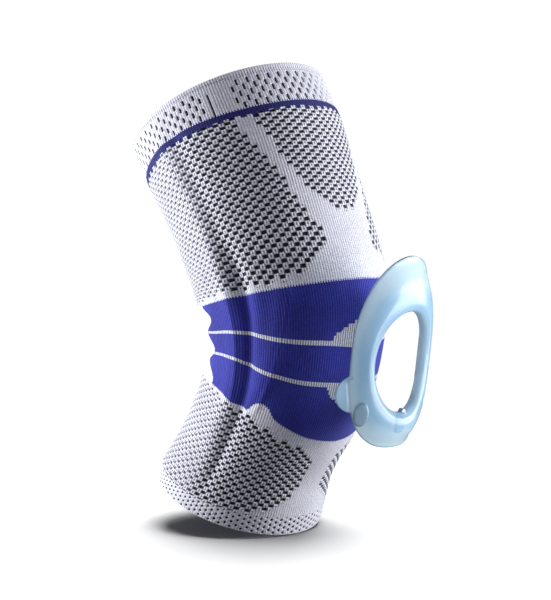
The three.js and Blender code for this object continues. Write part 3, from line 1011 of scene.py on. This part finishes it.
def stitch_places(shader, knit):
    """Places in the knit from its UV map: across the column and up from the nearest opening
    in repeats, the rib wave, the course wave, and a random number for each opening."""
    uv = shader.node("ShaderNodeUVMap", uv_map="knit")
    u, v = shader.node("ShaderNodeSeparateXYZ", {0: uv}).node.outputs[:2]
    column = shader.math("FLOOR", u)
    middle_u = shader.plus(column, 0.5)
    odd = shader.math("FLOORED_MODULO", column, 2.0)
    shift = shader.times(odd, 0.5)
    if knit.skew:
        shift = shader.plus(shift, shader.times(shader.gap(middle_u), knit.skew))
    shifted = shader.minus(v, shift)
    middle = shader.math("ROUND", shifted)
    stray = shader.times(shader.minus(shader.noise(420.0), 0.5), 0.22)
    wave = shader.times(shader.plus(u, stray), 2 * math.pi * RIBS)
    cell = shader.node("ShaderNodeCombineXYZ", {0: column, 1: middle})
    return {
        "u": u,
        "v": v,
        "odd": odd,
        "across": shader.gap(u, middle_u),
        "up": shader.gap(shifted, middle),
        "rib": shader.times(shader.math("COSINE", wave), -1.0),
        "course": shader.math("COSINE", shader.times(v, 2 * math.pi * knit.repeat / COURSE_HEIGHT)),
        "chance": shader.node("ShaderNodeTexWhiteNoise", {"Vector": cell}, noise_dimensions="2D"),
    }


def opening_mask(shader, place, half_column, half_repeat, power, waist=0.0):
    """1 inside an opening: a rounded oblong, (across / half column)^power plus
    (up / half repeat)^power below 1. A waist narrows it in the middle."""
    ragged = shader.times(shader.minus(shader.noise(1400.0), 0.5), 0.35)
    size = shader.plus(1.0, shader.times(shader.minus(place["chance"], 0.5), 0.16))
    up = shader.math("DIVIDE", place["up"], half_repeat)
    width = shader.times(size, half_column)
    if waist:
        flare = shader.times(shader.math("POWER", up, 2.0), waist)
        width = shader.times(width, shader.plus(1 - waist, flare))
    across = shader.math("DIVIDE", place["across"], width)
    total = shader.plus(shader.math("POWER", across, power), shader.math("POWER", up, power))
    return shader.ramp(shader.plus(total, ragged), 1.25, 0.95)


def finish_fabric(shader, tint, place, depth=0.0002, sheen=0.2):
    """Surface of a knit: its colour, a matt finish with a soft sheen, and the relief of the
    ribs, courses and yarn as bump."""
    yarn = shader.noise(2600.0, 3.0)
    ribs = shader.plus(shader.times(place["rib"], 0.5), shader.times(place["course"], 0.3))
    shader.feed(shader.surface, {
        "Base Color": tint,
        "Normal": shader.bump(0.5, depth, shader.plus(ribs, yarn)),
        "Roughness": 0.9,
        "Specular IOR Level": 0.25,
        "Sheen Weight": sheen,
        "Sheen Roughness": 0.5,
    })
    return shader.material


def yarn_tone(shader, place):
    """Slow change of tone, the yarn's grain and painted shade between the courses, as one number near 1.
    """
    drift = shader.ramp(shader.noise(38.0), 0.3, 0.7, 0.94, 1.03)
    grain = shader.ramp(shader.noise(1000.0, 3.0), 0.32, 0.68, 0.74, 1.06)
    # Painted shade: the low rows between the courses are darkened.
    return shader.times(drift, grain, shader.ramp(place["course"], -1.0, 1.0, 0.93, 1.0))


def white_base(shader, place, valley):
    """White yarn with a slow change of tone, and painted shade in the ribs' valleys and between the
    courses.
    """
    # Painted shade: the ribs' valleys are darkened.
    ribs = shader.ramp(place["rib"], -1.0, 0.6, 1 - valley, 1.0)
    return shader.shade(shader.times(ribs, yarn_tone(shader, place)), WHITE_YARN)


def block_base(shader, place):
    """White blocks of stitches between the openings: two bright wales in each column, and painted
    shade as a dark line between the columns, a darker groove between the wales and a grey hollow in the
    middle of the block."""
    # Painted shade: dark line between the columns, darker groove between the wales, grey hollow.
    line = shader.ramp(place["across"], 0.30, 0.47, 1.0, 0.24)
    valley = shader.ramp(place["across"], 0.02, 0.16, 0.76, 1.0)
    sideways = shader.math("DIVIDE", place["across"], 0.16)
    upwards = shader.math("DIVIDE", shader.minus(0.5, place["up"]), 0.14)
    out = shader.plus(shader.times(sideways, sideways), shader.times(upwards, upwards))
    hollow = shader.ramp(out, 0.4, 1.3, 0.15, 1.0)
    return shader.shade(shader.times(line, valley, hollow, yarn_tone(shader, place)), WHITE_YARN)


def openwork_material(name, knit, blue_edge=0.0):
    """White openwork: a dark dash of painted shade as wide as its column, then a white block, by
    turns. At the back the knit goes loose: the openings are smaller and shallower, and their
    painted shade is paler as painted light washing the sides. Above the blue edge, given in
    repeats, every other column is blue."""
    shader = Shader(name)
    place = stitch_places(shader, knit)
    field = shader.attribute("openwork")
    tint = shader.mix(field, white_base(shader, place, knit.valley), block_base(shader, place))
    low, high = (columns_of(turn, knit) for turn in SLACK_TURNS)
    # Past the first slack turn the openings shrink, and their painted shade is made paler as painted
    # light, as if side light washed them.
    slack_and_painted_light = shader.ramp(shader.gap(place["u"]), low, high)
    half_column = shader.ramp(slack_and_painted_light, 0.0, 1.0, knit.half_column, SLACK_WIDTH * knit.half_column)
    half_repeat = shader.ramp(slack_and_painted_light, 0.0, 1.0, knit.half_repeat, SLACK_HEIGHT * knit.half_repeat)
    # Painted shade: each opening is a sunk pit painted with the dark of the sleeve's shaded inside.
    dash = shader.times(opening_mask(shader, place, half_column, half_repeat, 4.0), field)
    tint = shader.mix(dash, tint, shader.mix(slack_and_painted_light, HOLE_SHADE, SIDE_LIT_HOLE_SHADE))
    if blue_edge:
        edge = shader.times(shader.math("GREATER_THAN", place["v"], blue_edge), place["odd"])
        tint = shader.mix(edge, tint, shader.shade(0.5, BLUE_YARN))
    return finish_fabric(shader, tint, place)


def cuff_material():
    """Ribbed white knit with waisted upright slots, one long slot at the side, two rows of pin
    holes under the welt and blue yarn between the ribs where they meet the stripe. Slots and
    holes are painted dark as painted shade of the sleeve's inside."""
    shader = Shader("upper cuff knit")
    place = stitch_places(shader, CUFF_KNIT)
    slots = opening_mask(shader, place, CUFF_KNIT.half_column, CUFF_KNIT.half_repeat, 4.0, 0.3)
    tint = shader.mix(shader.times(slots, shader.attribute("openwork")),
                      white_base(shader, place, CUFF_KNIT.valley), HOLE_SHADE)
    for row in PIN_ROWS:
        near = shader.ramp(shader.gap(place["v"], row), 0.05, 0.02)
        pins = shader.times(near, shader.ramp(place["rib"], 0.1, -0.6), 0.75)
        tint = shader.mix(pins, tint, HOLE_SHADE)
    aside = shader.gap(shader.gap(place["u"]), columns_of(SEAM_SLOT_TURN, CUFF_KNIT))
    below = shader.ramp(place["v"], SEAM_SLOT_TOP + 0.03, SEAM_SLOT_TOP - 0.03)
    tint = shader.mix(shader.times(shader.ramp(aside, 0.19, 0.11), below), tint, HOLE_SHADE)
    foot = shader.ramp(place["v"], 0.13 - CUFF_ROW_START, 0.10 - CUFF_ROW_START)
    teeth = shader.times(foot, shader.ramp(place["rib"], 0.2, -0.3))
    return finish_fabric(shader, shader.mix(teeth, tint, BLUE_YARN), place)


def dotted_material():
    """Fine white knit with small round holes in alternate columns, painted dark as painted shade of the
    sleeve's inside.
    """
    shader = Shader("lower cuff knit")
    place = stitch_places(shader, DOT_KNIT)
    dots = opening_mask(shader, place, DOT_KNIT.half_column, DOT_KNIT.half_repeat, 2.0)
    dots = shader.times(dots, shader.attribute("openwork"))
    tint = shader.mix(dots, white_base(shader, place, DOT_KNIT.valley), HOLE_SHADE)
    return finish_fabric(shader, tint, place, 0.00015)


def plain_material():
    """Plain ribbed white knit."""
    shader = Shader("plain white knit")
    place = stitch_places(shader, PLAIN_KNIT)
    return finish_fabric(shader, white_base(shader, place, PLAIN_KNIT.valley), place)


def blue_material(name, depth, marked):
    """Blue ribbed knit with painted highlights on its crests and painted shade between the
    courses, darker where the depth is less. Where it is marked it has two white ladder lines,
    white patches and white wales at its edges."""
    shader = Shader(name)
    place = stitch_places(shader, PLAIN_KNIT)
    # Painted highlight: the ribs' crests are lightened, in patches from noise.
    highlight_breakup = shader.ramp(shader.noise(700.0), 0.3, 0.6)
    crest_highlight = shader.times(shader.ramp(place["rib"], 0.0, 1.0), highlight_breakup, 0.6)
    drift = shader.ramp(shader.noise(45.0), 0.3, 0.7, 0.9 * depth, 1.12 * depth)
    # Painted shade: the low rows between the courses are darkened.
    courses = shader.ramp(place["course"], -1.0, 1.0, 0.86, 1.0)
    grain = shader.ramp(shader.noise(1100.0, 3.0), 0.3, 0.7, 0.8, 1.15)
    tint = shader.shade(shader.times(drift, courses, grain), shader.mix(crest_highlight, BLUE_YARN, BLUE_CREST_HIGHLIGHT))
    if marked:
        tint = shader.mix(band_marks(shader, place), tint, white_base(shader, place, 0.75))
    return finish_fabric(shader, tint, place, sheen=0.15)


def band_marks(shader, place):
    """1 on the white lines, patches and wales of the blue band, and 0 on the blue."""
    line = shader.ramp(shader.attribute("line"), LINE_HALF_WIDTH + 0.15, LINE_HALF_WIDTH - 0.15)
    tooth = shader.times(shader.ramp(place["rib"], -0.3, 0.5), TOOTH_LENGTH)
    tooth = shader.math("GREATER_THAN", tooth, shader.attribute("edge"))
    return shader.math("MAXIMUM", shader.math("MAXIMUM", line, tooth), shader.attribute("patch"))


def silicone_material(name, roughness, coat):
    """Pale silicone that lets some light through, bluer where it is thick, paler at the ring's top
    and foot as painted light, and dark along its edges as painted shade."""
    shader = Shader(name)
    cloud = shader.ramp(shader.noise(30.0), 0.35, 0.65, 0.0, 0.12)
    depth = shader.plus(shader.ramp(shader.attribute("thickness"), 0.25, 1.0, 0.0, 0.88), cloud)
    tint = shader.mix(depth, THIN_SILICONE, THICK_SILICONE)
    shader.feed(shader.surface, {
        "Base Color": shader.mix(shader.times(shader.attribute("rim"), 0.65), tint, PAINTED_EDGE_SHADE),
        "Normal": shader.bump(0.15, 0.0002, shader.noise(260.0)),
        "Roughness": roughness,
        "IOR": 1.41,
        "Transmission Weight": 0.45,
        "Coat Weight": coat,
        "Coat Roughness": 0.15,
    })
    return shader.material


def floor_material():
    """Matt floor that is pale where it is seen and throws little light back, and fades out
    far from the object, so it has no edge."""
    shader = Shader("floor")
    place = shader.node("ShaderNodeTexCoord", output=3)
    distance = shader.node("ShaderNodeVectorMath", {0: place}, output=1, operation="LENGTH")
    seen = shader.node("ShaderNodeLightPath")
    shader.feed(shader.surface, {
        "Alpha": shader.ramp(distance, 0.60, 0.30),
        "Base Color": shader.mix(seen, FLOOR_BOUNCE, FLOOR_SEEN),
        "Roughness": 1.0,
        "Specular IOR Level": 0.0,
    })
    return shader.material


def add_disc(name, radius, middle):
    """Level round card that isn't part of the object."""
    turn = np.linspace(0, 2 * np.pi, 96, endpoint=False)
    rim = radius * np.stack([np.cos(turn), np.sin(turn), 0 * turn], axis=1)
    mesh = new_mesh(name, rim, np.zeros((0, 4), dtype=int), [np.arange(len(rim))])
    disc = new_object(name, mesh)
    disc.location = Vector(middle) / 1000
    return disc


def add_floor():
    """Round floor under the lower hem."""
    floor = add_disc("floor", FLOOR_RADIUS, FLOOR_MIDDLE)
    floor.data.materials.append(floor_material())
    return floor


def add_shade():
    """Unseen card inside the calf that keeps the top box from shining through the open
    sleeve on to the floor."""
    shade = add_disc("shade", SHADE_RADIUS, SHADE_MIDDLE)
    for ray in ("camera", "diffuse", "glossy", "transmission"):
        setattr(shade, "visible_" + ray, False)
    return shade


def camera_axes():
    """The camera's right, its up, and back from the object to the camera."""
    azimuth = math.radians(CAMERA_AZIMUTH)
    elevation = math.radians(CAMERA_ELEVATION)
    back = Vector((math.sin(azimuth) * math.cos(elevation),
                   -math.cos(azimuth) * math.cos(elevation), math.sin(elevation)))
    right = Vector((math.cos(azimuth), math.sin(azimuth), 0))
    return right, back.cross(right), back


def stand(item, place, right, up, back):
    """Puts an object at a place and turns it to three axes."""
    turned = Matrix((right, up, back)).transposed().to_4x4()
    item.matrix_world = Matrix.Translation(place) @ turned


def add_camera():
    """Camera at the photograph's angle, with everything sharp."""
    right, up, back = camera_axes()
    data = bpy.data.cameras.new("camera")
    data.lens = CAMERA_LENS
    data.sensor_width = 36
    data.clip_start = 0.05
    data.clip_end = 20
    camera = new_object("camera", data)
    place = right * CAMERA_ASIDE + up * CAMERA_UP + back * CAMERA_DISTANCE
    stand(camera, place, right, up, back)
    bpy.context.scene.camera = camera


def new_group(name, objects):
    """Collection of objects for light linking."""
    group = bpy.data.collections.new(name)
    for item in objects:
        group.objects.link(item)
    return group


def add_soft_box(name, place, size, power, upright, lit):
    """Square studio light that faces the object, with its height along upright, and lights
    one group alone."""
    data = bpy.data.lights.new(name, "AREA")
    data.shape = "RECTANGLE"
    data.size, data.size_y = size
    data.energy = power
    light = new_object(name, data)
    away = (place - LIGHT_AIM).normalized()
    side = upright.cross(away).normalized()
    stand(light, place, side, away.cross(side), away)
    light.light_linking.receiver_collection = lit
    return light


def add_lights(pieces, floor):
    """Bright boxes on both sides of the sleeve, two for the silicone and one above the floor.
    Their places are right, back and up from the object in metres."""
    right, up, back = camera_axes()
    fabrics = new_group("fabrics", [p for p in pieces if p.name.endswith("_fabric")])
    silicones = new_group("silicones", [p for p in pieces if not p.name.endswith("_fabric")])
    boxes = [
        ("left box", -1.0, -0.05, 0.1, (0.6, 0.9), 21, fabrics),
        ("right box", 0.95, 0.04, 0.15, (0.5, 0.9), 16, fabrics),
        ("ring box", 1.0, 0.2, -0.2, (1.3, 1.0), 30, silicones),
        ("ring fill", -0.5, 0.9, 0.3, (0.6, 0.6), 1.2, silicones),
    ]
    for name, aside, near, high, size, power, lit in boxes:
        add_soft_box(name, right * aside + back * near + up * high, size, power, up, lit)
    above = right * 0.13 + back * -0.07 + Vector((0, 0, 0.9))
    top = add_soft_box("top box", above, (0.85, 1.3), 60, back, new_group("ground", [floor]))
    low = [p for p in pieces if p.name.startswith(("knee", "back", "calf", "lower"))]
    top.light_linking.blocker_collection = new_group("shadow", [*low, add_shade()])


def add_surround():
    """Surround that is white where it is seen, past the object or through the silicone, and
    a dim pale light elsewhere."""
    world = bpy.data.worlds.new("surround")
    bpy.context.scene.world = world
    world.use_nodes = True
    tree = world.node_tree
    tree.nodes.clear()
    kinds = ("ShaderNodeLightPath", "ShaderNodeMath", "ShaderNodeMixShader", "ShaderNodeOutputWorld")
    path, either, mix, out = (tree.nodes.new(kind) for kind in kinds)
    either.operation = "MAXIMUM"
    tree.links.new(path.outputs["Is Camera Ray"], either.inputs[0])
    tree.links.new(path.outputs["Is Transmission Ray"], either.inputs[1])
    tree.links.new(either.outputs[0], mix.inputs[0])
    for place, tint, power in [(1, SURROUND, SURROUND_POWER), (2, WHITE, 1.0)]:
        glow = tree.nodes.new("ShaderNodeBackground")
        glow.inputs["Color"].default_value = tint
        glow.inputs["Strength"].default_value = power
        tree.links.new(glow.outputs[0], mix.inputs[place])
    tree.links.new(mix.outputs[0], out.inputs[0])
    bpy.context.scene.view_settings.view_transform = "Standard"


add_camera()

ring, ring_face = make_pad(silicone_material("silicone", 0.25, 0.3))
stripe = make_stripe(blue_material("stripe knit", 0.42, False))
pieces = [
    make_upper_cuff(cuff_material()),
    stripe,
    make_thigh(openwork_material("thigh knit", THIGH_KNIT, THIGH_REPEATS - BLUE_REPEATS)),
    make_band(blue_material("blue knit", 1.0, True)),
    make_panel(plain_material()),
    make_calf(openwork_material("calf knit", CALF_KNIT)),
    make_lower_cuff(dotted_material()),
    ring,
]
dull_silicone = silicone_material("dull silicone", 0.6, 0.0)
button = (BUTTON_WIDTH / 2, BUTTON_LENGTH / 2)
for name, middle, half_size, height in [
    ("left_button", (-BUTTON_SPREAD, -BUTTON_DROP), button, BUTTON_HEIGHT),
    ("right_button", (BUTTON_SPREAD, -BUTTON_DROP), button, BUTTON_HEIGHT),
    ("bead", (BEAD_ASIDE, HOLE_FOOT + BEAD_RAISE), (BEAD_RADIUS, BEAD_RADIUS), BEAD_RADIUS / 2),
]:
    pieces.append(raised_boss(name, middle, half_size, height, ring_face, dull_silicone))
add_lights(pieces, add_floor())
add_surround()
